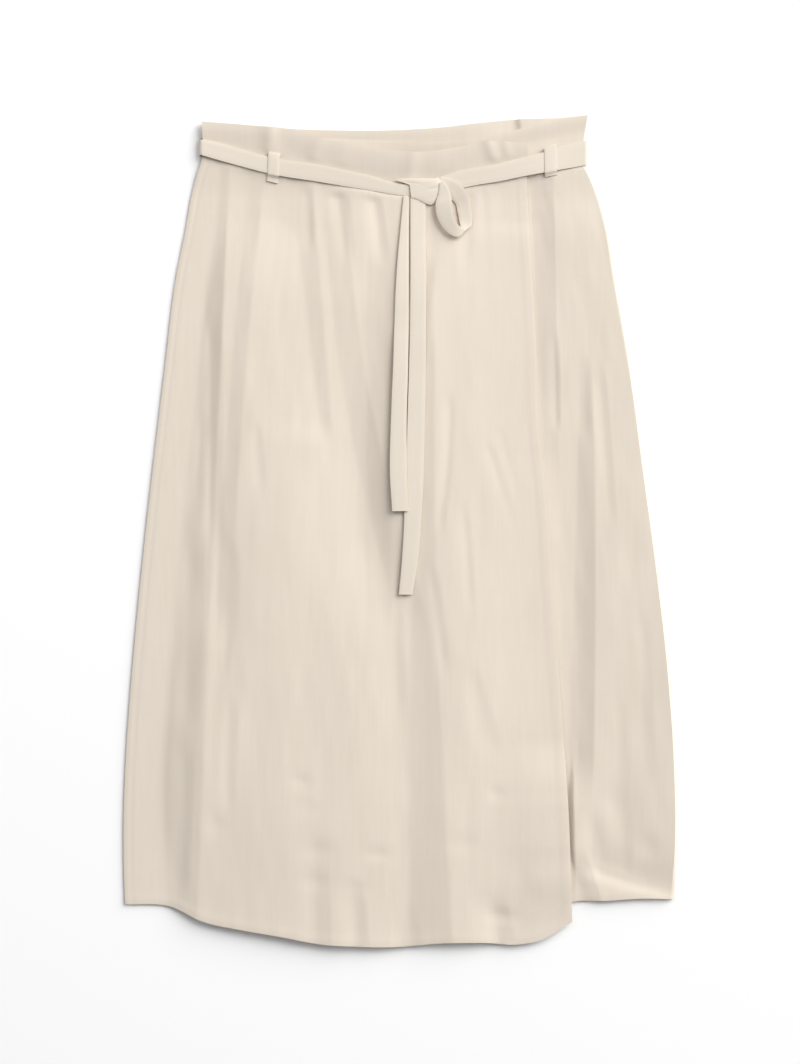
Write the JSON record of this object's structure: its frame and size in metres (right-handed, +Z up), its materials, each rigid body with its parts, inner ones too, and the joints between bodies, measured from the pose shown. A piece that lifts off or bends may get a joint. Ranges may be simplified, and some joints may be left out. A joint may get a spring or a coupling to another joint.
{
  "type": "wrap skirt",
  "caption": "Midi-length wrap skirt in plain linen, laid flat front up, with a waistband, belt loops and a tie belt knotted in a half bow.",
  "frame": {"origin": "on the surface the skirt lies on, at the middle of its outline", "axes": "+Y from hem to waist, +X across to the side where the under front shows, +Z up, out of the front"},
  "size_m": [0.5325, 0.7999, 0.0216],
  "materials": {
    "linen": "plain woven linen, matt, pale oatmeal, with fine slubs along the length",
    "belt_linen": "the same linen, doubled and pressed flat"
  },
  "bodies": {
    "root": {"back_panel": "linen", "waistband_back": "linen", "front_under": "linen", "waistband_under": "linen", "front_over": "linen", "waistband_over": "linen", "belt_back": "belt_linen", "belt_front_left": "belt_linen", "belt_front_right": "belt_linen", "belt_loop_left": "linen", "belt_loop_right": "linen", "belt_knot": "belt_linen", "belt_bow": "belt_linen", "belt_end_long": "belt_linen", "belt_end_short": "belt_linen"}
  },
  "joints": []
}
